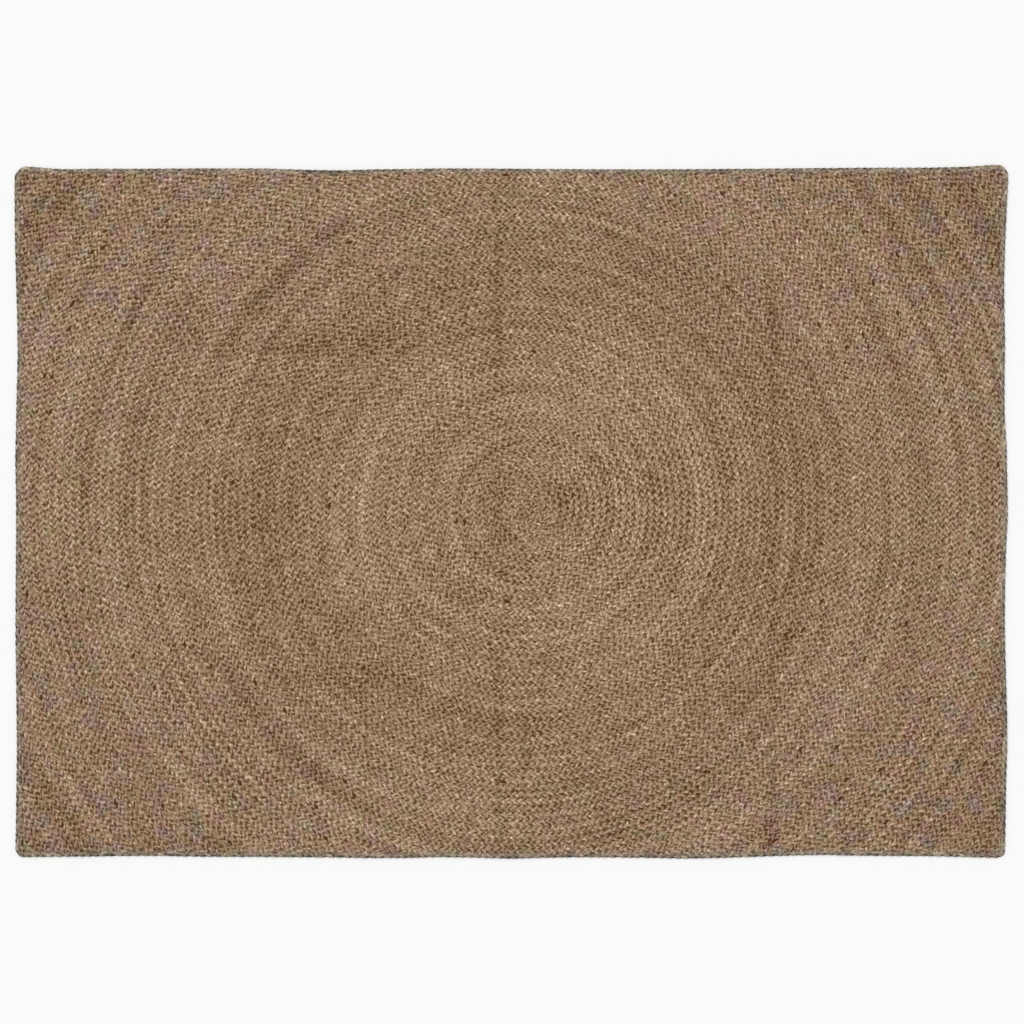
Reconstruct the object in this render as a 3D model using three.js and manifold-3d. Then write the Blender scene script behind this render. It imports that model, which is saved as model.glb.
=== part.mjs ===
import * as THREE from 'three';
import { mergeVertices } from 'three/addons/utils/BufferGeometryUtils.js';
import Module from 'manifold-3d';

// A jute rug: one long braid coiled flat from the middle outwards, its turns sewn side by side,
// cut to a rectangle and finished with a single row of the same braid sewn round the cut.
// Millimetres, +X along the rug's length, +Z up, the origin on the floor under the middle.

// The whole rug, between the mean lines of its four sides
const LENGTH = 2300;
const WIDTH = 1600;

// The coiled field: the distance from one turn to the next, and its height over the floor
// along a turn's crown and in the seam between two turns
const TURN_PITCH = 16.5;
const CROWN_HEIGHT = 10;
const SEAM_HEIGHT = 7;

// Turns of the whole coil, enough to pass the rug's corners, and the steps that draw one turn
const TURNS = 88;
const STEPS_PER_TURN = 32;

// The coil starts right of the rug's middle. Its turns settle towards the middle as they grow,
// until they are this wide.
const COIL_START = new THREE.Vector2(50, 8);
const COIL_SETTLED = new THREE.Vector2(0, 8);
const SETTLED_RADIUS = 1000;

// Below the rug, where the coil's solid is drawn to a point before the outline cuts it level
const COIL_APEX = new THREE.Vector3(0, -200, -5000);

// The braid sewn round the edge, and the clearance between it and the field
const EDGE_WIDTH = 14;
const EDGE_HEIGHT = 11;
const SEWING_GAP = 0.3;

// Half of the edge braid's section, from under its middle round to its crown, as shares of
// its half width and of its height
const EDGE_SECTION = [
  { across: 0.78, up: 0 },
  { across: 1, up: 0.32 },
  { across: 0.86, up: 0.73 },
  { across: 0.36, up: 1 },
];

// Steps along the outline, and round one corner
const OUTLINE_STEP = 80;
const CORNER_STEPS = 4;

// Each corner, anticlockwise from the right rear, with the radius that the edge braid turns in
const CORNERS = [
  { side: 1, end: 1, radius: 20, turn: 0 },
  { side: -1, end: 1, radius: 26, turn: 1 },
  { side: -1, end: -1, radius: 17, turn: 2 },
  { side: 1, end: -1, radius: 17, turn: 3 },
];

// How far the two long sides lie outside their mean line, along the rug from left to right
const LONG_SIDES = [
  { at: -1130, rear: 5, front: 0.5 },
  { at: -1070, rear: -2, front: -0.5 },
  { at: -992, rear: -0.5, front: -1 },
  { at: -850, rear: -0.5, front: -3 },
  { at: -709, rear: 0.5, front: -0.5 },
  { at: -567, rear: 0, front: 0 },
  { at: -425, rear: -4.5, front: 1 },
  { at: -283, rear: -1.5, front: 3 },
  { at: -142, rear: 0.5, front: 0 },
  { at: 0, rear: -0.5, front: 4 },
  { at: 142, rear: -1.5, front: 0.5 },
  { at: 284, rear: -2, front: 1.5 },
  { at: 425, rear: -1.5, front: 4 },
  { at: 567, rear: -0.5, front: -0.5 },
  { at: 709, rear: 1, front: -5 },
  { at: 851, rear: 2, front: -2.5 },
  { at: 992, rear: 2, front: -2 },
  { at: 1060, rear: 4, front: 0 },
  { at: 1125, rear: 9, front: 2 },
];

// How far the two short sides lie outside their mean line, from front to rear
const SHORT_SIDES = [
  { at: -782, left: 1.5, right: -1.5 },
  { at: -649, left: -1, right: 0.5 },
  { at: -519, left: -2, right: 4 },
  { at: -389, left: 0, right: 1 },
  { at: -259, left: 1.5, right: -2.5 },
  { at: -129, left: 0.5, right: -1 },
  { at: 0, left: -0.5, right: 5 },
  { at: 132, left: 2, right: 2.5 },
  { at: 262, left: -1.5, right: -3.5 },
  { at: 392, left: -4, right: -1.5 },
  { at: 522, left: -0.5, right: -4 },
  { at: 652, left: 3, right: -1 },
  { at: 760, left: 3.5, right: 6 },
];

// The finish of the field and of the edge braid
const FIELD_COLOUR = 0x92765d;
const EDGE_COLOUR = 0x7f6f5a;
const JUTE_ROUGHNESS = 0.95;

const wasm = await Module();
wasm.setup();

// A closed mesh as a solid that can be cut.
function toSolid(geometry) {
  const bare = geometry.clone();
  bare.deleteAttribute('normal');
  bare.deleteAttribute('uv');
  const merged = mergeVertices(bare, 1e-4);
  return new wasm.Manifold(
    new wasm.Mesh({
      numProp: 3,
      vertProperties: new Float32Array(merged.attributes.position.array),
      triVerts: new Uint32Array(merged.index.array),
    }),
  );
}

// The geometry with these points and these triangles of point numbers.
function toGeometry(positions, triangles) {
  const geometry = new THREE.BufferGeometry();
  geometry.setAttribute('position', new THREE.Float32BufferAttribute(positions, 3));
  geometry.setIndex(triangles);
  geometry.computeVertexNormals();
  return geometry;
}

// A table's column at a place between its rows, eased from each row to the next.
function along(table, column, at) {
  const next = table.findIndex((row) => row.at > at);
  if (next === 0) return table[0][column];
  if (next === -1) return table[table.length - 1][column];
  const before = table[next - 1];
  const after = table[next];
  const share = THREE.MathUtils.smoothstep(at, before.at, after.at);
  return THREE.MathUtils.lerp(before[column], after[column], share);
}

// Moves a point of the straight outline to where the hand-sewn edge really runs.
function settle(point, outward) {
  const shortSide = outward.x > 0 ? 'right' : 'left';
  const longSide = outward.y > 0 ? 'rear' : 'front';
  return new THREE.Vector2(
    point.x + outward.x * along(SHORT_SIDES, shortSide, point.y),
    point.y + outward.y * along(LONG_SIDES, longSide, point.x),
  );
}

// Points round the rug's outline, anticlockwise, each with the direction that faces outwards.
function outline() {
  const points = [];
  CORNERS.forEach((corner, index) => {
    const next = CORNERS[(index + 1) % CORNERS.length];
    const centre = cornerCentre(corner);
    const straight = cornerCentre(next).sub(centre);
    for (let step = 0; step <= CORNER_STEPS; step += 1) {
      const angle = (corner.turn + step / CORNER_STEPS) * (Math.PI / 2);
      const outward = new THREE.Vector2(Math.cos(angle), Math.sin(angle));
      points.push({ place: centre.clone().addScaledVector(outward, corner.radius), outward });
    }
    const last = points[points.length - 1];
    const side = last.outward;
    const end = cornerCentre(next).addScaledVector(side, next.radius);
    const steps = Math.round(straight.length() / OUTLINE_STEP);
    for (let step = 1; step < steps; step += 1) {
      points.push({ place: last.place.clone().lerp(end, step / steps), outward: side });
    }
  });
  return points.map(({ place, outward }) => ({ place: settle(place, outward), outward }));
}

// The middle of the arc that the edge follows round a corner.
function cornerCentre({ side, end, radius }) {
  return new THREE.Vector2(side * (LENGTH / 2 - radius), end * (WIDTH / 2 - radius));
}

// The outline shifted so that its box is centred on the origin.
function centred(points) {
  const box = new THREE.Box2().setFromPoints(points.map(({ place }) => place));
  const middle = box.getCenter(new THREE.Vector2());
  return points.map(({ place, outward }) => ({ place: place.clone().sub(middle), outward }));
}

// A point of the coil, so many turns along it and so many pitches outside its inner seam.
function onCoil(turns, outside, height) {
  const radius = (turns + outside) * TURN_PITCH;
  const angle = turns * 2 * Math.PI;
  const settled = Math.min(radius / SETTLED_RADIUS, 1);
  const centre = COIL_START.clone().lerp(COIL_SETTLED, settled);
  return [centre.x + radius * Math.cos(angle), centre.y + radius * Math.sin(angle), height];
}

// The whole coil as one solid. Seam and crown lines run along the spiral, one turn's outer
// seam is the next turn's inner one, and the rim is drawn down to a point under the rug.
function coilSolid() {
  const last = TURNS * STEPS_PER_TURN;
  const seams = last + STEPS_PER_TURN + 1;
  const positions = [];
  for (let step = 0; step < seams; step += 1) {
    positions.push(...onCoil(step / STEPS_PER_TURN, 0, SEAM_HEIGHT));
  }
  for (let step = 0; step <= last; step += 1) {
    positions.push(...onCoil(step / STEPS_PER_TURN, 0.5, CROWN_HEIGHT));
  }
  const apex = positions.length / 3;
  positions.push(...COIL_APEX.toArray());

  const crown = (step) => seams + step;
  const triangles = [];
  const quad = (a, b, c, d) => triangles.push(a, b, c, a, c, d);
  for (let step = 0; step < last; step += 1) {
    quad(step, crown(step), crown(step + 1), step + 1);
    quad(crown(step), step + STEPS_PER_TURN, step + STEPS_PER_TURN + 1, crown(step + 1));
  }

  // The braid's own start closes the middle, and its end the rim.
  for (let step = 1; step < STEPS_PER_TURN; step += 1) {
    triangles.push(0, step, step + 1);
  }
  triangles.push(0, STEPS_PER_TURN, crown(0));
  for (let step = last; step < last + STEPS_PER_TURN; step += 1) {
    triangles.push(apex, step + 1, step);
  }
  triangles.push(apex, crown(last), last + STEPS_PER_TURN);
  triangles.push(apex, last, crown(last));
  return toSolid(toGeometry(positions, triangles));
}

// The upright prism that the field is cut to, just inside the edge braid.
function fieldPrism(points) {
  const inset = EDGE_WIDTH + SEWING_GAP;
  const shape = new THREE.Shape(
    points.map(({ place, outward }) => place.clone().addScaledVector(outward, -inset)),
  );
  return toSolid(new THREE.ExtrudeGeometry(shape, { depth: 2 * CROWN_HEIGHT, bevelEnabled: false }));
}

// The coiled field: the coil inside the outline.
function fieldGeometry(points) {
  const cut = coilSolid().intersect(fieldPrism(points)).getMesh();
  return toGeometry(cut.vertProperties, Array.from(cut.triVerts));
}

// The edge braid: its section carried round the outline, with the outer side on the outline.
function edgeGeometry(points) {
  const outer = EDGE_SECTION.map(({ across, up }) => ({ inward: 1 - across, up }));
  const inner = EDGE_SECTION.map(({ across, up }) => ({ inward: 1 + across, up })).reverse();
  const section = [...outer, ...inner];
  const positions = points.flatMap(({ place, outward }) =>
    section.flatMap(({ inward, up }) => {
      const at = place.clone().addScaledVector(outward, (-inward * EDGE_WIDTH) / 2);
      return [at.x, at.y, up * EDGE_HEIGHT];
    }),
  );
  const triangles = [];
  for (let station = 0; station < points.length; station += 1) {
    const here = station * section.length;
    const ahead = ((station + 1) % points.length) * section.length;
    for (let side = 0; side < section.length; side += 1) {
      const next = (side + 1) % section.length;
      triangles.push(here + side, ahead + side, ahead + next);
      triangles.push(here + side, ahead + next, here + next);
    }
  }
  return toGeometry(positions, triangles);
}

// A named mesh in its own jute.
function jutePart(name, geometry, colour) {
  const material = new THREE.MeshStandardMaterial({
    color: colour,
    roughness: JUTE_ROUGHNESS,
    metalness: 0,
  });
  const mesh = new THREE.Mesh(geometry, material);
  mesh.name = name;
  return mesh;
}

const edge = centred(outline());
const rug = new THREE.Group();
rug.add(jutePart('braided_field', fieldGeometry(edge), FIELD_COLOUR));
rug.add(jutePart('edge_braid', edgeGeometry(edge), EDGE_COLOUR));

export default rug;
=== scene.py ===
import bpy
import numpy as np
from bpy.props import FloatProperty, FloatVectorProperty, PointerProperty
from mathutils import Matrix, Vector


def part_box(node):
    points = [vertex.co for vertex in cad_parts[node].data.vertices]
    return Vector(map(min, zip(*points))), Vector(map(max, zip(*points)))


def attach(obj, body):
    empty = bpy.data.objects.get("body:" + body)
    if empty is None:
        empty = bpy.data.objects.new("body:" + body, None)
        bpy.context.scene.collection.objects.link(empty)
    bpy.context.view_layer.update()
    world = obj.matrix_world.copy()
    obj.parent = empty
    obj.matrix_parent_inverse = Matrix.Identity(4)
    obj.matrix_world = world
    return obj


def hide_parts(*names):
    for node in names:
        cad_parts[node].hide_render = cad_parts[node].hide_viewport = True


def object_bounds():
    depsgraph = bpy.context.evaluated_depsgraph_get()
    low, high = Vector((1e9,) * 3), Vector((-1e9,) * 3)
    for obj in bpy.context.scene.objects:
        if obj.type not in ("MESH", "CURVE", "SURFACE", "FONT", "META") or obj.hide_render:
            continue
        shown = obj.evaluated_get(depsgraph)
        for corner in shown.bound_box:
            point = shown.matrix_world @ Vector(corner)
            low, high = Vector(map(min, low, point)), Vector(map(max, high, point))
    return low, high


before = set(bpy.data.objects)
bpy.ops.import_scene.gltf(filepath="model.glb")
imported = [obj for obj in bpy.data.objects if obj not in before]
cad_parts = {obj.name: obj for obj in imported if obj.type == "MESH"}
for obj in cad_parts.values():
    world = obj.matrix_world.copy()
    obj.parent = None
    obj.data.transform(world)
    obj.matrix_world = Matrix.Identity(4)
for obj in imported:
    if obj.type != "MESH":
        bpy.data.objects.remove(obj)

bl_info = {
    "name": "Jute Rug",
    "version": (1, 0, 0),
    "blender": (4, 5, 0),
    "location": "View3D > Sidebar > Jute Rug",
    "description": "Builds a rectangular jute rug: one braid coiled flat, and a braid sewn round its edge",
    "category": "Object",
}

# The imported model's nodes and body
FIELD_NODE = "braided_field"
EDGE_NODE = "edge_braid"
BODY = "root"

CAD_BOX = [list(corner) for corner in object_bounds()]
FIELD_LOW, FIELD_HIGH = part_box(FIELD_NODE)
_, EDGE_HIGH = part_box(EDGE_NODE)

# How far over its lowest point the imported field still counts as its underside
UNDERSIDE_BAND = 1e-4

# The photograph's side in pixels, and the lines between which the rug lies in it
PHOTO_SIDE = 1024
RUG_LEFT, RUG_RIGHT = 13.9, 1008.9
RUG_TOP, RUG_BOTTOM = 164.3, 859.0

RANDOM_SEED = 7

# Mesh stations along one stitch of the field's braid and of the edge's
FIELD_STATIONS = 4
EDGE_STATIONS = 8

# Of the seven lines across a braid's upper face, counted from 0, the middle one
MIDDLE_LINE = 3

# The line under the edge braid: the gap between its points in metres, how many points to each
# side its course is taken over, and the step in metres for its course in between
LINE_GAP = 0.004
LINE_REACH = 2
COURSE_STEP = 0.002

# The form of a lobe. It rises as a sine to the power round, by least or more of the height. Its
# stations close up on the creases by gather, in stitches. In half widths, its outer side swells
# by bulge times its rise less the mean, and the middle line moves by swing.
LOBE = {"round": 1.2, "least": 0.05, "gather": 0.05, "bulge": 0.16, "mean": 0.65, "swing": 0.2}

# How much lobes differ: the spreads of their height, their lean, their place across and their
# creases' painted shade, and the limits of a stitch's length, all in shares of the usual
SPREAD = {"height": 0.05, "lean": 0.12, "across": 0.08, "shade": 0.3}
LENGTH_LIMITS = (0.6, 1.4)

# Half of the upper face of the field's braid, from next to its middle out to its seam. Across
# is a share of the half width. Crown and crease are shares of the height, on a lobe's back and
# between two lobes of one column. Dark is how deep the painted shade lies in that crease, and
# the middle line has its own height and painted shade.
FIELD_SECTION = (
    {"across": 0.27, "crown": 0.97, "crease": 0.72, "dark": 0.75},
    {"across": 0.64, "crown": 1.00, "crease": 0.54, "dark": 1.00},
    {"across": 1.00, "crown": 0.94, "crease": 0.66, "dark": 0.25},
)
FIELD_MIDDLE = {"up": 0.84, "dark": 0.30}

# The same for the braid round the edge, which is rounder and falls away at its sides, where
# its painted shade lies deepest
EDGE_SECTION = (
    {"across": 0.30, "crown": 0.98, "crease": 0.70, "dark": 0.5},
    {"across": 0.72, "crown": 0.90, "crease": 0.52, "dark": 0.9},
    {"across": 1.00, "crown": 0.55, "crease": 0.22, "dark": 1.05},
)
EDGE_MIDDLE = {"up": 0.86, "dark": 0.1}

# The three lines of a braid's underside: their shares across, and their heights in metres
FIELD_UNDERSIDE = {"across": (-1.0, 0.0, 1.0), "up": (0.0038, 0.0004, 0.0038)}
EDGE_UNDERSIDE = {"across": (-0.8, 0.0, 0.8), "up": (0.0, 0.0, 0.0)}

# The stitches in which the braid grows to its width where the coil starts, and the pitches over
# which its radius is eased there
START_STITCHES = 4
START_EASE = 0.25

# The long waves by which the turns stray: the axis that a wave moves them along, its share of
# the waver, its radians a metre along x and along y, and its phase
WAVES = (
    {"axis": 0, "share": 1.0, "x": 3.0, "y": 9.1, "phase": 0.4},
    {"axis": 0, "share": 0.6, "x": -13.0, "y": 21.0, "phase": 2.0},
    {"axis": 1, "share": 1.0, "x": 8.3, "y": -4.0, "phase": 1.1},
    {"axis": 1, "share": 0.6, "x": 19.0, "y": 15.0, "phase": 0.2},
)

# The pieces that the field is made in, from the middle outwards: the turn where each ends, and
# whether it is made in a left and a right half
COIL_PIECES = (
    {"name": "coil_middle", "last_turn": 29.0, "halves": False},
    {"name": "coil_round", "last_turn": 50.0, "halves": True},
    {"name": "coil_end", "last_turn": 90.0, "halves": True},
)
EDGE_PIECE = "edge_round"

# The step that tones are counted in, as a share of the way from the darkest jute to the palest
TONE_STEP = 0.01

# Lighter and darker turns of the coil, by their radius in metres, their tones left
# and right of its middle. Side ease is how fast the left one gives way to the right one.
SIDE_EASE = 0.9
RING_TONES = {
    0.00: (-3, -2),
    0.025: (2, 2),
    0.045: (-3, 0),
    0.07: (-3, -3),
    0.09: (-5, 5),
    0.12: (-1, 2),
    0.14: (2, 4),
    0.165: (-6, 1),
    0.19: (4, -2),
    0.225: (3, 12),
    0.26: (-1, 4),
    0.285: (-2, -3),
    0.295: (1, 4),
    0.31: (4, 6),
    0.33: (0, 4),
    0.352: (8, 6),
    0.368: (-2, 6),
    0.384: (15, 3),
    0.40: (-1, 1),
    0.42: (5, 6),
    0.445: (1, 6),
    0.47: (-2, -1),
    0.50: (-5, -2),
    0.53: (-8, 5),
    0.56: (-2, 2),
    0.585: (-4, -1),
    0.62: (-4, -4),
    0.65: (-2, -3),
    0.675: (-3, -5),
    0.70: (-3, -3),
    0.72: (3, 0),
    0.745: (2, 0),
    0.77: (-8, -5),
    0.80: (4, 5),
    0.83: (0, 1),
    0.875: (3, 2),
    0.91: (2, 1),
    0.945: (5, -6),
    0.985: (3, -1),
    1.01: (3, 3),
    1.05: (3, -2),
    1.08: (5, 2),
    1.10: (3, -3),
    1.145: (-1, 1),
    1.19: (1, -6),
    1.22: (-1, 0),
    1.26: (-4, -6),
    1.40: (-6, -6),
}

# Stretches of a few turns in another tone. A row holds the radius and half the width in metres,
# the directions of the two ends from the coil's middle in degrees anticlockwise from +x, and the
# tone. A stretch fades out over its last few degrees.
STRETCH_FADE = 6
RING_STRETCHES = (
    (0.035, 0.020, 290, 340, -4),
    (0.090, 0.020, 30, 130, 8),
    (0.090, 0.015, 230, 310, 9),
    (0.150, 0.012, 205, 240, -5),
    (0.211, 0.011, 122, 158, 6),
    (0.210, 0.011, 202, 240, 10),
    (0.225, 0.012, 25, 60, 4),
    (0.235, 0.020, 60, 120, 5),
    (0.235, 0.020, 240, 300, 7),
    (0.256, 0.020, 125, 155, -6),
    (0.260, 0.030, 205, 240, -5),
    (0.284, 0.011, 60, 120, -5),
    (0.305, 0.011, 20, 120, 5),
    (0.303, 0.011, 205, 340, 5),
    (0.345, 0.020, 245, 330, 5),
    (0.349, 0.010, 205, 240, 5),
    (0.370, 0.020, 62, 118, -5),
    (0.382, 0.012, 122, 158, -4),
    (0.384, 0.012, 202, 238, -4),
    (0.380, 0.018, 300, 335, 4),
    (0.425, 0.008, 50, 120, -7),
    (0.425, 0.008, 240, 310, -7),
    (0.440, 0.030, 205, 240, -4),
    (0.560, 0.022, 25, 118, -8),
    (0.600, 0.025, 62, 118, 4),
    (0.643, 0.012, 300, 340, 5),
    (0.670, 0.030, 115, 245, -3),
    (0.696, 0.022, 62, 118, 5),
    (0.774, 0.019, 118, 154, -9),
    (0.770, 0.017, 206, 242, -8),
    (0.845, 0.020, 245, 295, -4),
    (0.943, 0.018, 25, 60, 5),
    (0.943, 0.018, 300, 335, 3),
    (1.050, 0.070, 205, 240, -4),
    (1.065, 0.120, 118, 155, -3),
    (1.095, 0.030, 315, 335, 4),
    (1.100, 0.018, 25, 52, -6),
    (1.120, 0.110, 20, 60, -2),
    (1.200, 0.026, 25, 50, -6),
    (1.255, 0.010, 205, 225, -5),
    (1.270, 0.050, 20, 60, -2),
)

# Where the rug was folded. Each mark runs along x or y at a place on the other axis, between its
# ends, in metres, with its half width, its tone and its depth. Its tone is painted shade along
# the fold, and its depth a real dip. It fades out at its ends.
FOLD_FADE = 0.05
FOLD_MARKS = (
    {"along": "y", "at": -0.031, "ends": (0.27, 0.66), "half": 0.010, "tone": -9.6, "depth": 0.0012},
    {"along": "y", "at": -0.031, "ends": (0.61, 0.83), "half": 0.010, "tone": -4.0, "depth": 0.0008},
    {"along": "y", "at": -0.031, "ends": (-0.62, -0.29), "half": 0.010, "tone": -9.6, "depth": 0.0012},
    {"along": "y", "at": -0.031, "ends": (-0.83, -0.57), "half": 0.010, "tone": -4.8, "depth": 0.0008},
    {"along": "y", "at": 0.608, "ends": (0.00, 0.56), "half": 0.011, "tone": -7.2, "depth": 0.0008},
    {"along": "y", "at": 0.608, "ends": (-0.62, 0.00), "half": 0.010, "tone": -5.6, "depth": 0.0008},
    {"along": "y", "at": 0.604, "ends": (-0.83, -0.57), "half": 0.012, "tone": -8.8, "depth": 0.0008},
    {"along": "y", "at": -0.582, "ends": (-0.39, 0.42), "half": 0.024, "tone": -3.2, "depth": 0.0006},
    {"along": "x", "at": 0.394, "ends": (-0.60, -0.18), "half": 0.032, "tone": -7.2, "depth": 0.0006},
    {"along": "x", "at": -0.389, "ends": (-0.60, -0.18), "half": 0.026, "tone": -6.4, "depth": 0.0006},
    {"along": "x", "at": -0.775, "ends": (-1.15, -0.624), "half": 0.022, "tone": -4.8, "depth": 0.0},
)

# Painted shade between the turns right of the middle, where they are sewn less tightly. It grows
# up to the start and fades from the end of its full stretch to the reach, in metres.
PAINTED_SEAM_SHADE = {"shade": 0.64, "start": 0.06, "full": 0.32, "reach": 0.88}

# Further stretches with painted shade between the turns, in the same rows but with a shade for the tone
PAINTED_SEAM_STRETCHES = (
    (0.174, 0.060, 95, 128, 0.42),
    (0.174, 0.060, 228, 262, 0.45),
    (0.350, 0.200, 95, 115, 0.28),
    (0.370, 0.200, 243, 280, 0.26),
    (0.674, 0.060, 262, 292, 0.38),
    (0.690, 0.080, 168, 190, 0.45),
    (0.780, 0.060, 275, 310, 0.50),
    (0.883, 0.060, 143, 190, 0.28),
    (0.883, 0.050, 200, 234, 0.50),
    (0.883, 0.050, 306, 324, 0.36),
    (0.883, 0.050, 336, 354, 0.48),
    (0.988, 0.050, 140, 215, 0.26),
    (1.092, 0.045, 186, 204, 0.60),
    (1.092, 0.050, 306, 337, 0.55),
)

# The deep pits where the sewing pulls two turns apart, painted as shade in creases of the outer
# column. The share of the stitches that have one grows as the square of the radius, and is this
# share at the full radius in metres.
PAINTED_PITS = {"share": 0.012, "full": 1.1, "shade": 1.6}

# The single light strands: the share of the stitches that have one, and what it adds to the tone
# of its lobe, in spreads of the lobes' tones
LIGHT_STRANDS = {"share": 0.055, "tone": 7.0}

# Random swings of tone along a braid: the stitches that each reaches over, and its spread
FIELD_SWINGS = ({"reach": 5, "tone": 1.3}, {"reach": 45, "tone": 2.85})
EDGE_SWING = {"reach": 4, "tone": 4.0}

# Painted shade along the edge braid's inner side, where it meets the field, on its outermost
# line and on the next
INNER_SEAM_SHADE = (0.40, 0.15)

# How each jute is finished: how much tone its lobes, its fibres and its mottle add and the
# painted shade between the lobes takes away, and how strong its patches of other colour are
FIELD_FINISH = {"lobes": 0.03, "fibres": 1.1, "mottle": 1.1, "painted_shade": 0.52, "patches": 0.95}
EDGE_FINISH = {"lobes": 0.11, "fibres": 1.2, "mottle": 1.1, "painted_shade": 0.50, "patches": 0.5}

# The coarse and the fine fibres: the scale of their noise along the braid and across it, its
# detail, and their shares of the streaks and of the relief, with its depth in metres
COARSE_FIBRES = {"scale": (2.8, 1.5, 1.0), "detail": 2.0, "streak": 0.65, "relief": 0.3}
FINE_FIBRES = {"scale": (24.0, 2.0, 1.0), "detail": 3.0, "streak": 0.35, "relief": 0.7}
FIBRE_DEPTH = 0.0006

# What the jute's colour is multiplied by in each kind of patch, and how the patches lie. They
# are where noise of their scale, moved by their shift, passes the bounds. They grow from none to
# full between two shares of the way out to the corners or to the rim. Rim is how strong they
# are in the strip along it.
PATCH_TINTS = {
    "Violet": (1.00, 0.93, 1.16),
    "Grey": (0.88, 0.99, 1.23),
    "Olive": (0.91, 1.035, 0.91),
}
PATCHES = {
    "Violet": {"scale": 19.0, "shift": 3.0, "out_to": "corner", "grows": (0.28, 0.80), "rim": 0.0},
    "Grey": {"scale": 17.0, "shift": 7.0, "out_to": "corner", "grows": (0.37, 0.86), "rim": 0.6},
    "Olive": {"scale": 21.0, "shift": 11.0, "out_to": "rim", "grows": (0.35, 1.0), "rim": 0.0},
}
PATCH_BOUNDS = (0.50, 0.66)
RIM_STRIP = (0.958, 0.988)

# The noise of the mottle all over
MOTTLE = {"scale": 195.0, "shift": 17.0, "detail": 2.0}

# The underside's lobes, which are in the material: how far they slant in stitches, the powers
# that round them off and end them at the seams, the painted shade that lies all over the
# underside and deepens at their sides, and their relief
UNDERSIDE = {"slant": 0.55, "round": 0.6, "seam": 5.0, "shade": 0.5, "relief": 0.002}

# How rough the jute and the floor are, and how strongly the jute shines
ROUGHNESS = 0.9
SHINE = 0.2

# The floor's corners, half its side, and how far it lies below the rug, in metres
FLOOR_CORNERS = ((-1, -1), (1, -1), (1, 1), (-1, 1))
FLOOR_HALF = 30.0
FLOOR_DROP = 0.0005

# Where the lamp hangs, and how wide it looks in degrees
LAMP_PLACE = (-0.8, 1.0, 5.0)
LAMP_WIDTH = 50


class RugCoil(bpy.types.PropertyGroup):
    """Sizes of the braid that is coiled into the field."""

    turn_pitch: FloatProperty(
        name="Turn Pitch",
        description="Distance from one turn of the coil to the next",
        default=0.0165,
        unit="LENGTH",
    )
    overlap: FloatProperty(
        name="Overlap",
        description="Width of the braid over the distance between two turns",
        default=1.02,
    )
    stitch: FloatProperty(
        name="Stitch",
        description="Length of braid from one lobe to the next",
        default=0.0156,
        unit="LENGTH",
    )
    unevenness: FloatProperty(
        name="Unevenness",
        description="How much the stitches differ in length, as a share of one",
        default=0.16,
    )
    height: FloatProperty(
        name="Height",
        description="Height of the braid's crown over the floor",
        default=FIELD_HIGH.z,
        unit="LENGTH",
    )
    slant: FloatProperty(
        name="Slant",
        description="How far a lobe runs along the braid on its way to the seam, in stitches",
        default=0.48,
    )
    start: FloatVectorProperty(
        name="Coil Start",
        description="Middle of the first turns",
        default=(0.050, 0.008),
        size=2,
        unit="LENGTH",
    )
    settled: FloatVectorProperty(
        name="Coil Settled",
        description="Middle of the outer turns",
        default=(0.0, 0.008),
        size=2,
        unit="LENGTH",
    )
    settled_radius: FloatProperty(
        name="Settled Radius",
        description="Radius of the first turn that lies about the outer turns' middle",
        default=1.0,
        unit="LENGTH",
    )
    waver: FloatProperty(
        name="Waver",
        description="How far the turns stray from their true spiral",
        default=0.0012,
        unit="LENGTH",
    )


class RugEdge(bpy.types.PropertyGroup):
    """Sizes of the braid that is sewn round the cut."""

    width: FloatProperty(
        name="Width",
        description="Width of the edge braid",
        default=0.014,
        unit="LENGTH",
    )
    stitch: FloatProperty(
        name="Stitch",
        description="Length of edge braid from one lobe to the next",
        default=0.018,
        unit="LENGTH",
    )
    unevenness: FloatProperty(
        name="Unevenness",
        description="How much the stitches differ in length, as a share of one",
        default=0.12,
    )
    height: FloatProperty(
        name="Height",
        description="Height of the edge braid over the floor",
        default=EDGE_HIGH.z,
        unit="LENGTH",
    )
    slant: FloatProperty(
        name="Slant",
        description="How far a lobe runs along the braid on its way to the side, in stitches",
        default=0.5,
    )


class RugYarn(bpy.types.PropertyGroup):
    """Colours of the jute."""

    # The shade is the darkest jute, and the colour that the painted shade between the lobes reaches
    shade: FloatVectorProperty(
        name="Shade",
        description="Jute deep between the lobes",
        default=(0.092, 0.034, 0.006),
        size=3,
        subtype="COLOR",
    )
    jute: FloatVectorProperty(
        name="Jute",
        description="Jute on the whole",
        default=(0.413, 0.268, 0.161),
        size=3,
        subtype="COLOR",
    )
    straw: FloatVectorProperty(
        name="Straw",
        description="Palest fibres",
        default=(0.97, 0.785, 0.63),
        size=3,
        subtype="COLOR",
    )
    # The edge braid's colours are greyer than the field's, and darker as painted shade for a braid whose
    # sides roll down
    edge_shade: FloatVectorProperty(
        name="Edge Shade",
        description="Edge braid deep between its lobes",
        default=(0.050, 0.036, 0.026),
        size=3,
        subtype="COLOR",
    )
    edge_jute: FloatVectorProperty(
        name="Edge Jute",
        description="Edge braid on the whole, greyer than the field",
        default=(0.300, 0.225, 0.151),
        size=3,
        subtype="COLOR",
    )
    edge_straw: FloatVectorProperty(
        name="Edge Straw",
        description="Palest fibres of the edge braid",
        default=(0.66, 0.55, 0.42),
        size=3,
        subtype="COLOR",
    )


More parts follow.
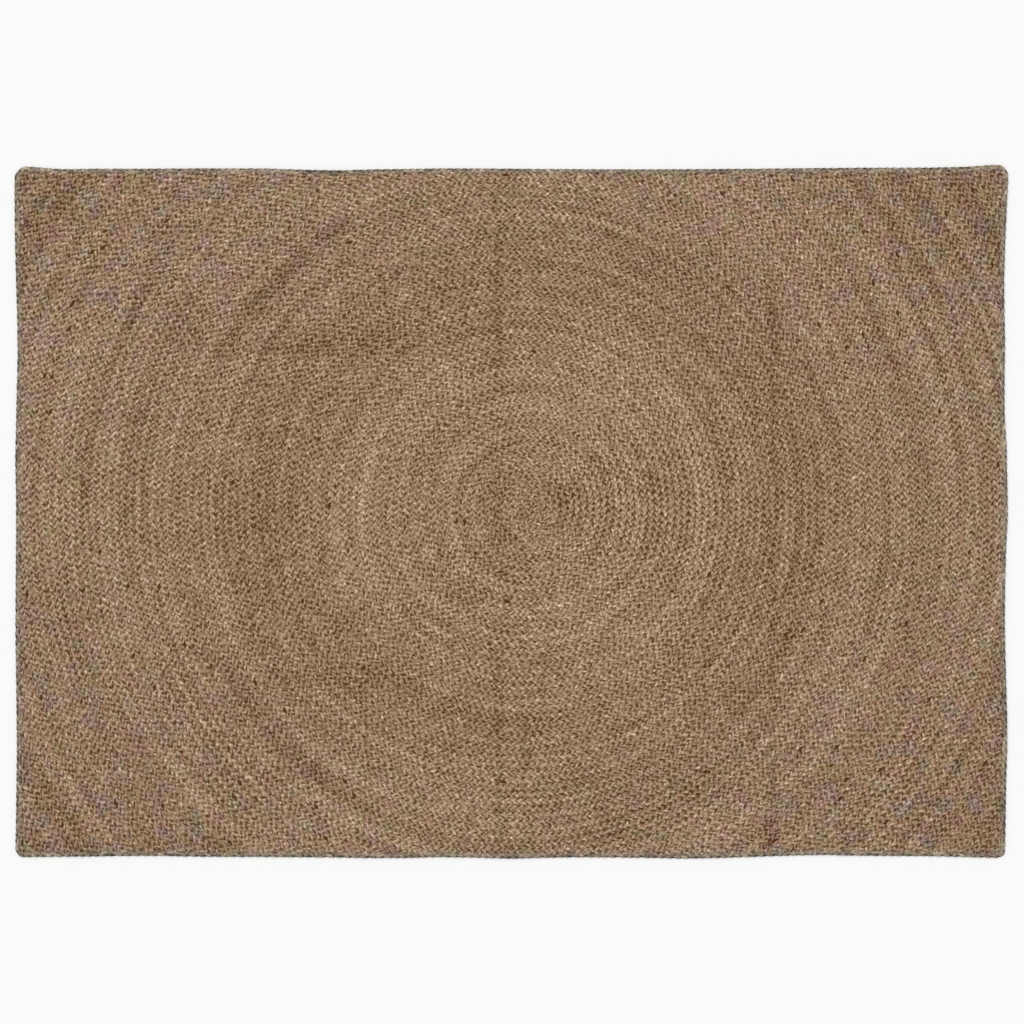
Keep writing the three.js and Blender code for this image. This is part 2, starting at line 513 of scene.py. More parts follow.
class RugStage(bpy.types.PropertyGroup):
    """Camera, light and floor."""

    lens: FloatProperty(
        name="Lens",
        description="Focal length of the camera",
        default=100.0,
        unit="CAMERA",
    )
    floor: FloatVectorProperty(
        name="Floor",
        description="Colour of the floor",
        default=(0.9, 0.9, 0.9),
        size=3,
        subtype="COLOR",
    )
    sky: FloatProperty(
        name="Room Light",
        description="Strength of the even light from all round",
        default=0.36,
    )
    lamp: FloatProperty(
        name="Lamp",
        description="Strength of the wide soft lamp overhead",
        default=2.3,
    )


def cut_outline():
    """The cut round the field, anticlockwise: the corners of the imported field's underside."""
    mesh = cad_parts[FIELD_NODE].data
    points = np.zeros(3 * len(mesh.vertices))
    mesh.vertices.foreach_get("co", points)
    points = points.reshape(-1, 3)
    under = points[:, 2] < FIELD_LOW.z + UNDERSIDE_BAND
    cut = np.unique(np.round(points[under, :2], 6), axis=0)
    return cut[np.argsort(np.arctan2(cut[:, 1], cut[:, 0]))]


def measured(line):
    """A closed line with its first point again at its end, and the run along it to each point."""
    closed = np.vstack([line, line[:1]])
    run = np.concatenate([[0.0], np.cumsum(np.linalg.norm(np.diff(closed, axis=0), axis=1))])
    return closed, run


def edge_line(width):
    """The line under the middle of the edge braid, in points a few millimetres apart.

    It is the cut, moved outwards by half the braid's width at right angles to its own course
    over a few points before and after.
    """
    closed, run = measured(cut_outline())
    at = np.arange(0.0, run[-1], LINE_GAP)
    line = np.stack([np.interp(at, run, closed[:, axis]) for axis in (0, 1)], axis=1)
    course = np.roll(line, -LINE_REACH, axis=0) - np.roll(line, LINE_REACH, axis=0)
    outward = np.stack([course[:, 1], -course[:, 0]], axis=1)
    outward /= np.linalg.norm(outward, axis=1, keepdims=True)
    return line + outward * width / 2


def held_inside(x, y, line):
    """Moves what lies outside a rectangle with wavy sides onto its nearest side.

    Each side runs between two corners, the points furthest out on the diagonals. y is kept
    between the front and the rear side at x, and then x between the left and the right at y.
    """
    diagonals = ((1, 1), (-1, 1), (-1, -1), (1, -1))
    corners = [int(np.argmax(line @ np.array(diagonal))) for diagonal in diagonals]
    sides = []
    for first, last in zip(corners, corners[1:] + corners[:1]):
        count = (last - first) % len(line) + 1
        sides.append(line[(first + np.arange(count)) % len(line)])
    rear, left, front, right = (
        side[np.argsort(side[:, axis])] for side, axis in zip(sides, (0, 1, 0, 1))
    )
    held_y = np.clip(y, np.interp(x, *front.T), np.interp(x, *rear.T))
    held_x = np.clip(
        x, np.interp(held_y, left[:, 1], left[:, 0]), np.interp(held_y, right[:, 1], right[:, 0])
    )
    return held_x, held_y


def turns_along(stitches, coil):
    """Turns of the coil after so many stitches, from one turn before its start.

    A run of braid is pi times the pitch times (turns squared + turns), which is solved for the
    turns. In the stitches before the start they grow evenly from -1 to 0.
    """
    run = np.maximum(stitches - START_STITCHES, 0.0) * coil.stitch
    turns = np.sqrt(0.25 + run / (np.pi * coil.turn_pitch)) - 0.5
    return np.where(stitches < START_STITCHES, stitches / START_STITCHES - 1, turns)


def on_coil(turns, across, coil):
    """The place on the coil so many turns along it, and so many half widths off its middle line.

    The radius is turns + 1/2 + across/2 in pitches, eased to stay above zero in the first turn.
    The middle of the turns moves from the start to the settled place as the radius grows.
    """
    radius = (turns + 0.5 + across / 2) * coil.turn_pitch
    radius = (radius + np.hypot(radius, START_EASE * coil.turn_pitch)) / 2
    settled = np.minimum(radius / coil.settled_radius, 1.0)
    angle = 2 * np.pi * turns
    x = coil.start[0] + (coil.settled[0] - coil.start[0]) * settled + radius * np.cos(angle)
    y = coil.start[1] + (coil.settled[1] - coil.start[1]) * settled + radius * np.sin(angle)
    return wavered(x, y, coil.waver)


def wavered(x, y, amount):
    """A place moved by a few long sine waves across the plane, so that no turn is a true spiral."""
    moved = [x, y]
    for wave in WAVES:
        swell = np.sin(wave["x"] * x + wave["y"] * y + wave["phase"])
        moved[wave["axis"]] = moved[wave["axis"]] + amount * wave["share"] * swell
    return moved


def on_edge(along, across, closed, run, width):
    """The place at a share of the edge line's run, and so many half widths outwards from it."""
    at = along * run[-1]
    x, y, ahead_x, ahead_y, behind_x, behind_y = (
        np.interp((at + step) % run[-1], run, closed[:, axis])
        for step in (0.0, COURSE_STEP, -COURSE_STEP)
        for axis in (0, 1)
    )
    course_x, course_y = ahead_x - behind_x, ahead_y - behind_y
    out = across * width / 2 / np.hypot(course_x, course_y)
    return x + course_y * out, y - course_x * out


def wandering(rng, count, reach):
    """A smooth random course of so many values with a spread of 1: noise blurred over a reach."""
    window = np.hanning(2 * reach + 1)
    noise = np.convolve(rng.normal(0, 1, count + len(window) - 1), window, mode="valid")
    return noise / np.sqrt((window ** 2).sum())


def braid(stitches, stations, section, middle, slant, unevenness, closed, rng):
    """The upper face of a flat braid: a grid of stations along it and seven lines across it.

    Its lobes lie in two columns, half a stitch out of step. Over a lobe, with a phase p from
    one crease to the next, the height rises from crease to crown as a power of sin(pi p), the
    painted shade fades as cos(pi p) squared, and the stations close up on the creases by
    sin(2 pi p). A lobe runs along the braid by the slant times its share across, and the middle
    line swings by cos(2 pi p) towards the column that is in its crease. No two lobes have quite
    the same height, lean, width and tone, and no two creases the same painted shade.
    """
    station = np.arange(stitches * stations + (0 if closed else 1)) / stations
    lengths = np.clip(rng.normal(1, unevenness, stitches + 2), *LENGTH_LIMITS)
    marks = np.concatenate([[0.0], np.cumsum(lengths)]) * stitches / lengths[:stitches].sum()
    run = np.interp(station, np.arange(len(marks)), marks)
    middle_tone = np.zeros_like(station)
    lines = {}
    for side in (-1, 1):
        lobe = station + (0.5 if side > 0 else 0.0)
        phase = lobe % 1.0
        number = np.floor(lobe).astype(int) % (stitches if closed else stitches + 1)
        ridge = np.sin(np.pi * phase) ** LOBE["round"]
        fullness, sway, lean, tone = rng.normal(0, 1, (4, stitches + 1))[:, number]
        middle_tone += tone / 2
        for step, row in enumerate(section, start=1):
            # Each crease's painted shade differs a little
            shade = np.clip(rng.normal(1, SPREAD["shade"], stitches + 1), 0, 2)[number]
            crown = row["crown"] * (1 + SPREAD["height"] * fullness)
            rise = np.maximum(crown - row["crease"], LOBE["least"])
            bulge = SPREAD["across"] * sway
            if step == len(section):
                bulge = LOBE["bulge"] * (ridge - LOBE["mean"])
            slide = slant * (1 + SPREAD["lean"] * lean) * row["across"]
            lines[side * step] = {
                "along": run + slide - LOBE["gather"] * np.sin(2 * np.pi * phase),
                "across": side * (row["across"] + bulge),
                "up": row["crease"] + rise * ridge,
                "tone": tone,
                "dark": row["dark"] * shade * np.cos(np.pi * phase) ** 2,
            }
    lines[0] = {
        "along": run,
        "across": -LOBE["swing"] * np.cos(2 * np.pi * station),
        "up": np.full_like(station, middle["up"]),
        "tone": middle_tone,
        "dark": np.full_like(station, middle["dark"]),
    }
    grid = {key: np.stack([lines[k][key] for k in sorted(lines)], axis=1) for key in lines[0]}
    grid["lobe"] = np.broadcast_to(station[:, None], grid["along"].shape)
    return grid


def joined(upper, lower):
    """One value for each point of a braid: the upper face's, and then the underside's."""
    return np.concatenate([np.ravel(upper), np.ravel(lower)])


def braid_points(grid, upper, lower, height, lower_up, tone):
    """A braid's points, and what its materials read at each of them.

    braid holds the stitch, the share across, and 1 on the underside; the others are the
    lobe's own tone, the tone of that stretch of the braid, and the painted shade between the
    lobes, which also lies all over the underside.
    """
    lower_x, lower_y = lower
    stitch = np.broadcast_to(np.arange(len(lower_x))[:, None], lower_x.shape)
    across = np.broadcast_to([-1.0, 0.0, 1.0], lower_x.shape)
    below = np.ones(lower_x.shape)
    points = np.stack([
        joined(upper[0], lower_x),
        joined(upper[1], lower_y),
        joined(grid["up"] * height, np.array(lower_up) * below),
    ], axis=1)
    facts = {
        "braid": np.stack([
            joined(grid["lobe"], stitch),
            joined(grid["across"], across),
            joined(np.zeros_like(grid["up"]), below),
        ], axis=1),
        "lobe_tone": joined(grid["tone"], 0 * below),
        "row_tone": joined(tone, 0 * below),
        "painted_shade": joined(grid["dark"], UNDERSIDE["shade"] * below),
    }
    return points, facts


def braid_faces(kept, stations, wide, closed):
    """Faces of a braid's kept stitches: its upper face, its underside, its walls and its ends.

    The points of the upper face come first, so many across at each station, and then three of
    the underside at each start of a stitch. A wall has one face a stitch.
    """
    count = len(kept)
    rows = count * stations + (0 if closed else 1)
    low = rows * wide
    here = np.flatnonzero(kept)
    left = (here[:, None] * stations + np.arange(stations + 1)) % rows * wide
    right = left + wide - 1
    near, far = left[:, :-1, None], left[:, 1:, None]
    step = np.arange(wide - 1)
    top = np.stack([near + step, near + step + 1, far + step + 1, far + step], axis=-1)
    under = low + 3 * here
    next_under = low + 3 * ((here + 1) % (count + (0 if closed else 1)))
    faces = [
        top.reshape(-1, 4),
        np.stack([under, next_under, next_under + 1, under + 1], axis=1),
        np.stack([under + 1, next_under + 1, next_under + 2, under + 2], axis=1),
        np.column_stack([left, next_under, under]),
        np.column_stack([right[:, ::-1], under + 2, next_under + 2]),
    ]
    if not closed:
        change = np.diff(np.concatenate([[False], kept, [False]]).astype(int))
        first, last = (np.flatnonzero(change == sign)[:, None] for sign in (1, -1))
        line, three = np.arange(wide), np.arange(3)
        faces.append(np.column_stack([first * stations * wide + line[::-1], low + 3 * first + three]))
        faces.append(np.column_stack([last * stations * wide + line, low + 3 * last + three[::-1]]))
    return faces


def new_piece(name, points, faces, facts, material, stood_for):
    """A closed mesh object with only the points that its faces use. Its first faces are smooth."""
    used, corners = np.unique(np.concatenate([face.ravel() for face in faces]), return_inverse=True)
    sides = np.concatenate([np.full(len(face), face.shape[1]) for face in faces])
    mesh = bpy.data.meshes.new(name)
    mesh.vertices.add(len(used))
    mesh.vertices.foreach_set("co", points[used].astype(np.float32).ravel())
    mesh.loops.add(len(corners))
    mesh.loops.foreach_set("vertex_index", corners.astype(np.int32).ravel())
    mesh.polygons.add(len(sides))
    mesh.polygons.foreach_set("loop_start", (np.cumsum(sides) - sides).astype(np.int32))
    mesh.polygons.foreach_set("use_smooth", np.arange(len(sides)) < len(faces[0]))
    mesh.update(calc_edges=True)
    for fact, values in facts.items():
        kind, part = ("FLOAT_VECTOR", "vector") if values.ndim == 2 else ("FLOAT", "value")
        layer = mesh.attributes.new(fact, kind, "POINT")
        layer.data.foreach_set(part, values[used].astype(np.float32).ravel())
    mesh.materials.append(material)
    piece = bpy.data.objects.new(name, mesh)
    bpy.context.scene.collection.objects.link(piece)
    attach(piece, BODY)
    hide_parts(stood_for)
    return piece


def on_stretches(turn, coil, stretches):
    """The sum of the stretches' tones or shades at each turn.

    Each is full at its radius and falls away beside it as exp(-(distance / half width)
    squared), and fades out over its last few degrees.
    """
    radius = (turn + 0.5) * coil.turn_pitch
    angle = turn % 1.0 * 360
    total = np.zeros_like(turn)
    for at, half, first, last, value in stretches:
        fade = np.clip(np.minimum(angle - first, last - angle) / STRETCH_FADE, 0, 1)
        total += value * fade * np.exp(-(((radius - at) / half) ** 2))
    return total


def ring_tone(turn, coil):
    """The tone of the coil at each turn, from the tables of its rings and of their stretches.

    The rings' tone is eased from the left column to the right one by the direction's cosine,
    and halved to the front and the rear.
    """
    radius = (turn + 0.5) * coil.turn_pitch
    sideways = np.cos(2 * np.pi * turn)
    left, right = (
        np.interp(radius, list(RING_TONES), tones) for tones in zip(*RING_TONES.values())
    )
    share = np.clip(0.5 + SIDE_EASE * sideways, 0, 1)
    rings = (left + (right - left) * share) * (0.5 + 0.5 * np.abs(sideways))
    return rings + on_stretches(turn, coil, RING_STRETCHES)


def painted_seam_shade(turn, coil):
    """The painted shade in the seams at each turn, where the turns lie looser.

    Right of the middle it fades as the cube of the direction's cosine, round to the front and
    the rear. The painted seam stretches add theirs.
    """
    radius = (turn + 0.5) * coil.turn_pitch
    falling = (PAINTED_SEAM_SHADE["reach"] - radius) / (PAINTED_SEAM_SHADE["reach"] - PAINTED_SEAM_SHADE["full"])
    fade = np.clip(np.minimum(radius / PAINTED_SEAM_SHADE["start"], falling), 0, 1)
    right_side = PAINTED_SEAM_SHADE["shade"] * fade * np.clip(np.cos(2 * np.pi * turn), 0, 1) ** 3
    return right_side + on_stretches(turn, coil, PAINTED_SEAM_STRETCHES)


def fold_mark(x, y, value):
    """The sum of the fold marks' tones or depths at a place.

    Each is full on its line and falls away beside it as exp(-(distance / half width) squared),
    and fades out over its last few centimetres.
    """
    total = np.zeros_like(x)
    for mark in FOLD_MARKS:
        beside, along = (x, y) if mark["along"] == "y" else (y, x)
        first, last = mark["ends"]
        fade = np.clip(np.minimum(along - first, last - along) / FOLD_FADE, 0, 1)
        total += mark[value] * fade * np.exp(-(((beside - mark["at"]) / mark["half"]) ** 2))
    return total


def add_painted_pits_and_strands(grid, starts, stations, outwards, rng):
    """Paints pits of shade in a few creases of the outer column, and light strands on a few lobes.

    A painted pit takes all of its lines at three stations, and a strand the innermost one at two.
    Outwards is each stitch's radius, as a share of the pits' full radius.
    """
    pits = starts[rng.random(len(starts)) < PAINTED_PITS["share"] * outwards ** 2] + stations // 2
    for beside in (-1, 0, 1):
        grid["dark"][pits + beside, MIDDLE_LINE + 1:] += PAINTED_PITS["shade"]
    strands = starts[rng.random(len(starts)) < LIGHT_STRANDS["share"]]
    grid["tone"][strands[:, None] + [0, 1], MIDDLE_LINE + 1] += LIGHT_STRANDS["tone"]


def build_field(context):
    """The coiled braid in pieces, cut where it passes under the middle of the edge braid."""
    coil = context.scene.rug_coil
    rng = np.random.default_rng(RANDOM_SEED)
    stations = FIELD_STATIONS
    last_turn = COIL_PIECES[-1]["last_turn"]
    run = np.pi * coil.turn_pitch * (last_turn ** 2 + last_turn)
    stitches = START_STITCHES + int(run / coil.stitch)
    grid = braid(
        stitches, stations, FIELD_SECTION, FIELD_MIDDLE, coil.slant, coil.unevenness, False, rng
    )
    line = edge_line(context.scene.rug_edge.width)
    loose = on_coil(turns_along(grid["along"], coil), grid["across"] * coil.overlap, coil)
    upper = held_inside(*loose, line)
    inside = np.isclose(upper[0], loose[0]) & np.isclose(upper[1], loose[1])
    starts = np.arange(0, stitches * stations, stations)
    kept = np.add.reduceat(inside.any(axis=1)[:-1], starts) > 0

    seams = grid["along"][::stations, MIDDLE_LINE]
    turn = turns_along(seams, coil)
    lower = held_inside(*on_coil(turn[:, None], np.array(FIELD_UNDERSIDE["across"]), coil), line)

    near, far = (swing["tone"] * wandering(rng, stitches, swing["reach"]) for swing in FIELD_SWINGS)
    stretch = ring_tone(turn[:-1], coil) + near + far
    stretch = np.append(np.repeat(stretch, stations), stretch[-1])
    # The fold marks darken the tone: painted shade along the folds
    tone = stretch[:, None] + fold_mark(*upper, "tone")
    grid["up"] *= 1 - fold_mark(*upper, "depth") / coil.height
    # Painted shade in the seams between the turns
    painted_seam = painted_seam_shade(turn[:-1], coil)
    grid["dark"][:, [0, -1]] += np.append(np.repeat(painted_seam, stations), painted_seam[-1])[:, None]
    # Painted shade for a few pits, and a few light strands
    add_painted_pits_and_strands(grid, starts, stations, turn[:-1] * coil.turn_pitch / PAINTED_PITS["full"], rng)
    points, facts = braid_points(grid, upper, lower, coil.height, FIELD_UNDERSIDE["up"], tone)

    yarn = context.scene.rug_yarn
    material = jute_material("field_jute", yarn.shade, yarn.jute, yarn.straw, FIELD_FINISH)
    right_side = np.cos(2 * np.pi * turn[:-1]) > 0
    first_turn = -1.0
    for band in COIL_PIECES:
        in_band = kept & (turn[:-1] >= first_turn) & (turn[:-1] < band["last_turn"])
        first_turn = band["last_turn"]
        parts = {"": in_band}
        if band["halves"]:
            parts = {"_left": in_band & ~right_side, "_right": in_band & right_side}
        for suffix, chosen in parts.items():
            faces = braid_faces(chosen, stations, grid["up"].shape[1], False)
            piece = new_piece(
                band["name"] + suffix, points, faces, facts, material, FIELD_NODE
            )


def build_edge(context):
    """The braid sewn round the cut, as one closed ring."""
    edge = context.scene.rug_edge
    rng = np.random.default_rng(RANDOM_SEED + 1)
    closed, run = measured(edge_line(edge.width))
    stitches = round(run[-1] / edge.stitch)
    stations = EDGE_STATIONS
    grid = braid(
        stitches, stations, EDGE_SECTION, EDGE_MIDDLE, edge.slant, edge.unevenness, True, rng
    )
    upper = on_edge(grid["along"] / stitches, grid["across"], closed, run, edge.width)
    seams = grid["along"][::stations, [MIDDLE_LINE]] / stitches
    lower = on_edge(seams, np.array(EDGE_UNDERSIDE["across"]), closed, run, edge.width)
    # Painted shade along the inner side, where the edge braid meets the field
    grid["dark"][:, :2] += INNER_SEAM_SHADE
    drift = EDGE_SWING["tone"] * wandering(rng, stitches, EDGE_SWING["reach"])
    drift = np.repeat(drift, stations)
    tone = np.broadcast_to(drift[:, None], grid["up"].shape)
    points, facts = braid_points(grid, upper, lower, edge.height, EDGE_UNDERSIDE["up"], tone)
    yarn = context.scene.rug_yarn
    material = jute_material("edge_jute", yarn.edge_shade, yarn.edge_jute, yarn.edge_straw, EDGE_FINISH)
    faces = braid_faces(np.ones(stitches, bool), stations, grid["up"].shape[1], True)
    new_piece(EDGE_PIECE, points, faces, facts, material, EDGE_NODE)


def node(tree, kind, inputs=None, **properties):
    """A new node, its inputs set to numbers, colours or other nodes' sockets by name or place."""
    made = tree.nodes.new(kind)
    for name, value in properties.items():
        setattr(made, name, value)
    for key, value in (inputs or {}).items():
        if isinstance(value, bpy.types.NodeSocket):
            tree.links.new(value, made.inputs[key])
        else:
            made.inputs[key].default_value = value
    return made


def maths(tree, operation, *values, clamp=False):
    """The result of a Math node on numbers and sockets."""
    made = node(tree, "ShaderNodeMath", dict(enumerate(values)), operation=operation, use_clamp=clamp)
    return made.outputs[0]


def new_group(name, inputs, outputs):
    """An empty node group with these sockets, its inputs to read and its outputs to feed."""
    group = bpy.data.node_groups.new(name, "ShaderNodeTree")
    for label, kind in inputs.items():
        group.interface.new_socket(label, in_out="INPUT", socket_type=kind)
    for label, kind in outputs.items():
        group.interface.new_socket(label, in_out="OUTPUT", socket_type=kind)
    return group, group.nodes.new("NodeGroupInput").outputs, group.nodes.new("NodeGroupOutput").inputs


def noise(group, place, mapping, scale, detail):
    """Noise over a place that a Mapping node stretches or moves first."""
    mapped = node(group, "ShaderNodeMapping", {"Vector": place, **mapping})
    inputs = {"Vector": mapped.outputs[0], "Scale": scale, "Detail": detail}
    return node(group, "ShaderNodeTexNoise", inputs).outputs["Fac"]


def fibre_group():
    """Streaks of fibre along the lobes, and their relief, from the place on the braid."""
    group, given, made = new_group(
        "Jute Fibres",
        {"Braid": "NodeSocketVector"},
        {"Streak": "NodeSocketFloat", "Relief": "NodeSocketFloat"},
    )
    coarse, fine = (
        noise(group, given["Braid"], {"Scale": fibres["scale"]}, 1.0, fibres["detail"])
        for fibres in (COARSE_FIBRES, FINE_FIBRES)
    )
    for label, share in (("Streak", "streak"), ("Relief", "relief")):
        both = maths(group, "MULTIPLY", coarse, COARSE_FIBRES[share])
        both = maths(group, "MULTIPLY_ADD", fine, FINE_FIBRES[share], both)
        group.links.new(both, made[label])
    return group


def patch_group():
    """Masks of the patches where the jute is violet, grey or olive, and a fine mottle all over.

    The patches are smooth steps of noise over the place, times a smooth step of how far out it
    is. With |x| and |y| in shares of the rug's half length and half width, that is their mean
    for the violet and the grey, which lie round the corners, and the larger of them for the
    olive. The grey also lies in a strip along the whole rim.
    """
    group, given, made = new_group(
        "Jute Patches",
        {"Place": "NodeSocketVector"},
        dict.fromkeys((*PATCHES, "Mottle"), "NodeSocketFloat"),
    )
    _, (half_length, half_width, _) = CAD_BOX
    parts = node(group, "ShaderNodeSeparateXYZ", {0: given["Place"]}).outputs
    along = maths(group, "ABSOLUTE", maths(group, "DIVIDE", parts["X"], half_length))
    aside = maths(group, "ABSOLUTE", maths(group, "DIVIDE", parts["Y"], half_width))
    way_out = {
        "rim": maths(group, "MAXIMUM", along, aside),
        "corner": maths(group, "MULTIPLY", maths(group, "ADD", along, aside), 0.5),
    }

    def spots(scale, shift, detail=1.0):
        return noise(group, given["Place"], {"Location": [shift] * 3}, scale, detail)

    def step(value, start, end):
        inputs = {"Value": value, "From Min": start, "From Max": end}
        return node(group, "ShaderNodeMapRange", inputs, interpolation_type="SMOOTHSTEP").outputs[0]

    for label, patch in PATCHES.items():
        inner = step(spots(patch["scale"], patch["shift"]), *PATCH_BOUNDS)
        inner = maths(group, "MULTIPLY", inner, step(way_out[patch["out_to"]], *patch["grows"]))
        strip = maths(group, "MULTIPLY", step(way_out["rim"], *RIM_STRIP), patch["rim"])
        group.links.new(maths(group, "MAXIMUM", inner, strip), made[label])
    group.links.new(spots(**MOTTLE), made["Mottle"])
    return group


def underside_group():
    """The lobes of the underside, where the mesh is plain: their crowns and the painted shade between.

    With q the stitch less the slant times the share across, they are |sin(pi q)| in the left
    column and |cos(pi q)| in the right one, and fall away at the seams.
    """
    group, given, made = new_group(
        "Braid Underside",
        {"Braid": "NodeSocketVector"},
        {"Crown": "NodeSocketFloat", "Below": "NodeSocketFloat"},
    )
    parts = node(group, "ShaderNodeSeparateXYZ", {0: given["Braid"]}).outputs
    share = maths(group, "ABSOLUTE", parts["Y"])
    slanted = maths(group, "MULTIPLY_ADD", share, -UNDERSIDE["slant"], parts["X"])
    turned = maths(group, "MULTIPLY", slanted, np.pi)
    left = maths(group, "ABSOLUTE", maths(group, "SINE", turned))
    right = maths(group, "ABSOLUTE", maths(group, "COSINE", turned))
    side = maths(group, "GREATER_THAN", parts["Y"], 0.0)
    lobe = node(group, "ShaderNodeMix", {0: side, 2: left, 3: right}).outputs[0]
    fall = maths(group, "SUBTRACT", 1.0, maths(group, "POWER", share, UNDERSIDE["seam"]))
    rounded = maths(group, "POWER", lobe, UNDERSIDE["round"])
    group.links.new(maths(group, "MULTIPLY", rounded, fall), made["Crown"])
    group.links.new(parts["Z"], made["Below"])
    return group


def colour_group():
    """The jute's colour by its tone: from the shade, which is the darkest jute and the colour of
    the painted shade, to the jute, tinted in patches, to the straw.
    """
    group, given, made = new_group(
        "Jute Colour",
        {
            **dict.fromkeys(("Tone", *PATCHES), "NodeSocketFloat"),
            **dict.fromkeys(("Shade", "Jute", "Straw"), "NodeSocketColor"),
        },
        {"Color": "NodeSocketColor"},
    )

    def mixed(share, first, second, blend="MIX"):
        inputs = {0: share, 6: first, 7: second}
        return node(group, "ShaderNodeMix", inputs, data_type="RGBA", blend_type=blend).outputs[2]

    low = maths(group, "MULTIPLY", given["Tone"], 2.0, clamp=True)
    high = maths(group, "MULTIPLY_ADD", given["Tone"], 2.0, -1.0, clamp=True)
    colour = mixed(low, given["Shade"], given["Jute"])
    for label, tint in PATCH_TINTS.items():
        colour = mixed(given[label], colour, (*tint, 1), "MULTIPLY")
    group.links.new(mixed(high, colour, given["Straw"]), made["Color"])
    return group


def shared(name, build):
    """A node group by its name, built the first time that it is asked for."""
    return bpy.data.node_groups.get(name) or build()


def jute_material(name, shade, jute, straw, finish):
    """Jute in its three colours, with tones by the lobe, the stretch of braid and the fibre, less
    the painted shade that the mesh and the underside's lobes carry.
    """
    material = bpy.data.materials.new(name)
    material.use_nodes = True
    tree = material.node_tree

    def attribute(label):
        return node(tree, "ShaderNodeAttribute", attribute_name=label).outputs

    def group(label, build, inputs):
        return node(tree, "ShaderNodeGroup", inputs, node_tree=shared(label, build)).outputs

    place = attribute("braid")["Vector"]
    fibres = group("Jute Fibres", fibre_group, {"Braid": place})
    under = group("Braid Underside", underside_group, {"Braid": place})
    at = node(tree, "ShaderNodeTexCoord").outputs["Object"]
    patches = group("Jute Patches", patch_group, {"Place": at})

    tone = maths(tree, "MULTIPLY_ADD", attribute("lobe_tone")["Fac"], finish["lobes"], 0.5)
    tone = maths(tree, "MULTIPLY_ADD", attribute("row_tone")["Fac"], TONE_STEP, tone)
    for grain, strength in ((fibres["Streak"], "fibres"), (patches["Mottle"], "mottle")):
        grain = maths(tree, "SUBTRACT", grain, 0.5)
        tone = maths(tree, "MULTIPLY_ADD", grain, finish[strength], tone)
    # Painted shade, the larger of the mesh's and that between the underside's lobes, darkens the tone
    shadow = maths(tree, "MULTIPLY", maths(tree, "SUBTRACT", 1.0, under["Crown"]), under["Below"])
    depth = maths(tree, "MAXIMUM", attribute("painted_shade")["Fac"], shadow)
    tone = maths(tree, "MULTIPLY_ADD", depth, -finish["painted_shade"], tone)
    colours = {"Shade": (*shade, 1), "Jute": (*jute, 1), "Straw": (*straw, 1)}
    tints = {
        label: maths(tree, "MULTIPLY", patches[label], finish["patches"], clamp=True)
        for label in PATCH_TINTS
    }
    colour = group("Jute Colour", colour_group, {"Tone": tone, **tints, **colours})

    relief = maths(tree, "MULTIPLY", fibres["Relief"], FIBRE_DEPTH)
    lobes = maths(tree, "MULTIPLY", under["Crown"], under["Below"])
    lobes = maths(tree, "MULTIPLY", lobes, UNDERSIDE["relief"])
    bump = node(tree, "ShaderNodeBump", {"Height": maths(tree, "ADD", relief, lobes), "Distance": 1.0})
    shader = tree.nodes["Principled BSDF"]
    shader.inputs["Roughness"].default_value = ROUGHNESS
    shader.inputs["Specular IOR Level"].default_value = SHINE
    tree.links.new(colour["Color"], shader.inputs["Base Color"])
    tree.links.new(bump.outputs["Normal"], shader.inputs["Normal"])
    return material


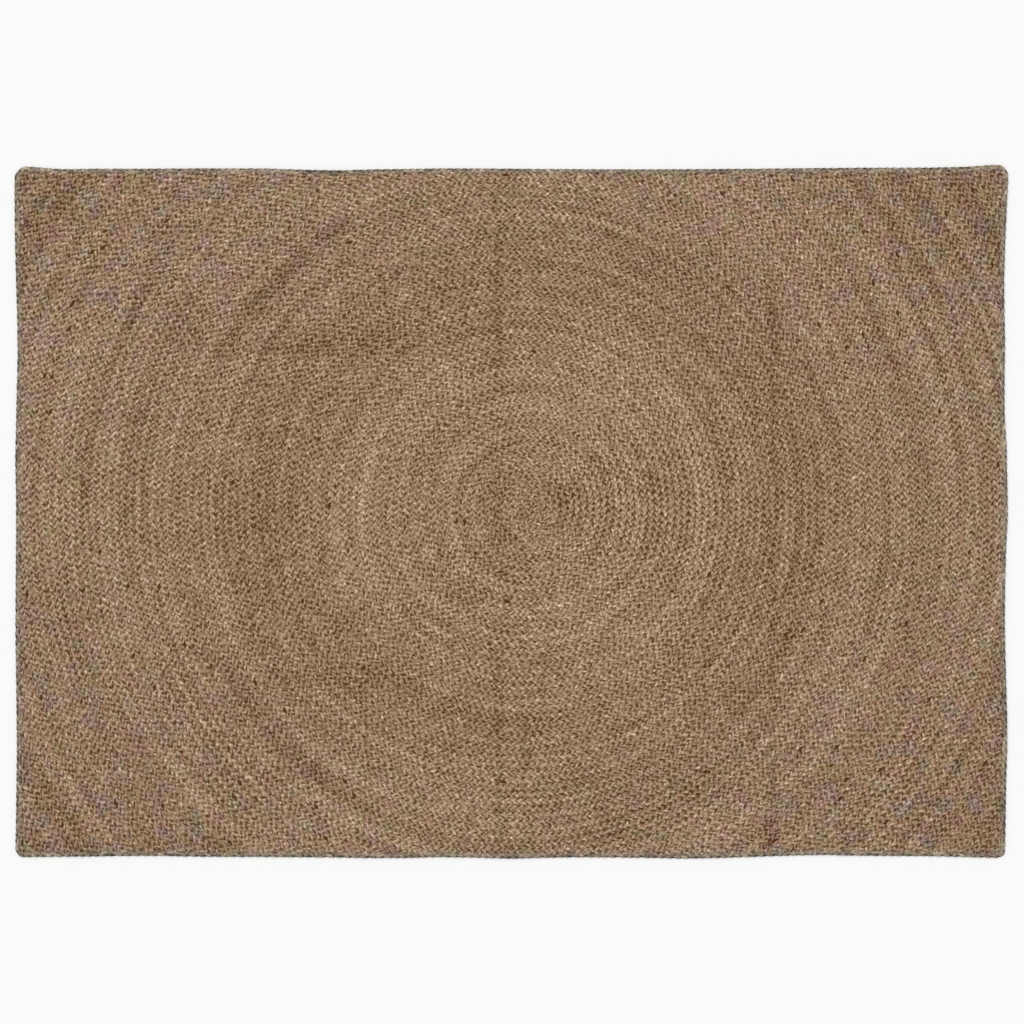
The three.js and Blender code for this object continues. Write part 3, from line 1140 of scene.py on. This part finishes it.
def build_stage(context):
    """The camera straight above the rug, a wide soft lamp, even light all round, and the floor."""
    stage = context.scene.rug_stage
    scene = context.scene
    scene.view_settings.view_transform = "Standard"
    (low_x, _, _), (high_x, _, high_z) = CAD_BOX
    metres = (high_x - low_x) / (RUG_RIGHT - RUG_LEFT)
    camera = bpy.data.cameras.new("camera")
    camera.lens = stage.lens
    eye = bpy.data.objects.new("camera", camera)
    eye.location = (
        (PHOTO_SIDE - RUG_LEFT - RUG_RIGHT) / 2 * metres,
        (RUG_TOP + RUG_BOTTOM - PHOTO_SIDE) / 2 * metres,
        high_z + PHOTO_SIDE * metres * stage.lens / camera.sensor_width,
    )
    scene.collection.objects.link(eye)
    scene.camera = eye

    lamp = bpy.data.lights.new("lamp", "SUN")
    lamp.angle = np.radians(LAMP_WIDTH)
    lamp.energy = stage.lamp
    hung = bpy.data.objects.new("lamp", lamp)
    hung.location = LAMP_PLACE
    hung.rotation_euler = (-Vector(LAMP_PLACE)).to_track_quat("-Z", "Y").to_euler()
    scene.collection.objects.link(hung)

    world = bpy.data.worlds.new("studio")
    world.use_nodes = True
    world.node_tree.nodes["Background"].inputs["Color"].default_value = (1, 1, 1, 1)
    world.node_tree.nodes["Background"].inputs["Strength"].default_value = stage.sky
    scene.world = world

    corners = [(x * FLOOR_HALF, y * FLOOR_HALF, -FLOOR_DROP) for x, y in FLOOR_CORNERS]
    mesh = bpy.data.meshes.new("floor")
    mesh.from_pydata(corners, [], [(0, 1, 2, 3)])
    paint = bpy.data.materials.new("floor_paint")
    paint.use_nodes = True
    shader = paint.node_tree.nodes["Principled BSDF"]
    shader.inputs["Base Color"].default_value = (*stage.floor, 1)
    shader.inputs["Roughness"].default_value = ROUGHNESS
    mesh.materials.append(paint)
    floor = bpy.data.objects.new("floor", mesh)
    scene.collection.objects.link(floor)


class RUG_OT_stage(bpy.types.Operator):
    """Sets up the camera, the light and the floor"""

    bl_idname = "rug.stage"
    bl_label = "Set Up Stage"

    def execute(self, context):
        build_stage(context)
        return {"FINISHED"}


class RUG_OT_edge(bpy.types.Operator):
    """Builds the braid that is sewn round the rug's edge"""

    bl_idname = "rug.edge"
    bl_label = "Build Edge Braid"

    def execute(self, context):
        build_edge(context)
        return {"FINISHED"}


class RUG_OT_field(bpy.types.Operator):
    """Builds the field, one long braid coiled flat, in five pieces"""

    bl_idname = "rug.field"
    bl_label = "Build Coiled Field"

    def execute(self, context):
        build_field(context)
        return {"FINISHED"}


class RUG_PT_panel(bpy.types.Panel):
    """The rug's sizes and colours, and the steps that build it"""

    bl_idname = "RUG_PT_panel"
    bl_label = "Jute Rug"
    bl_space_type = "VIEW_3D"
    bl_region_type = "UI"
    bl_category = "Jute Rug"

    def draw(self, context):
        for step, settings in (
            (RUG_OT_stage, context.scene.rug_stage),
            (RUG_OT_edge, context.scene.rug_edge),
            (RUG_OT_field, context.scene.rug_coil),
            (None, context.scene.rug_yarn),
        ):
            box = self.layout.box()
            for name in settings.__annotations__:
                box.prop(settings, name)
            if step:
                box.operator(step.bl_idname)


CLASSES = (RugCoil, RugEdge, RugYarn, RugStage, RUG_OT_stage, RUG_OT_edge, RUG_OT_field, RUG_PT_panel)
SETTINGS = {"rug_coil": RugCoil, "rug_edge": RugEdge, "rug_yarn": RugYarn, "rug_stage": RugStage}


def register():
    for cls in CLASSES:
        bpy.utils.register_class(cls)
    for name, group in SETTINGS.items():
        setattr(bpy.types.Scene, name, PointerProperty(type=group))


def unregister():
    for name in SETTINGS:
        delattr(bpy.types.Scene, name)
    for cls in reversed(CLASSES):
        bpy.utils.unregister_class(cls)


def main():
    register()
    bpy.ops.rug.stage()
    bpy.ops.rug.edge()
    bpy.ops.rug.field()


if __name__ == "__main__":
    main()
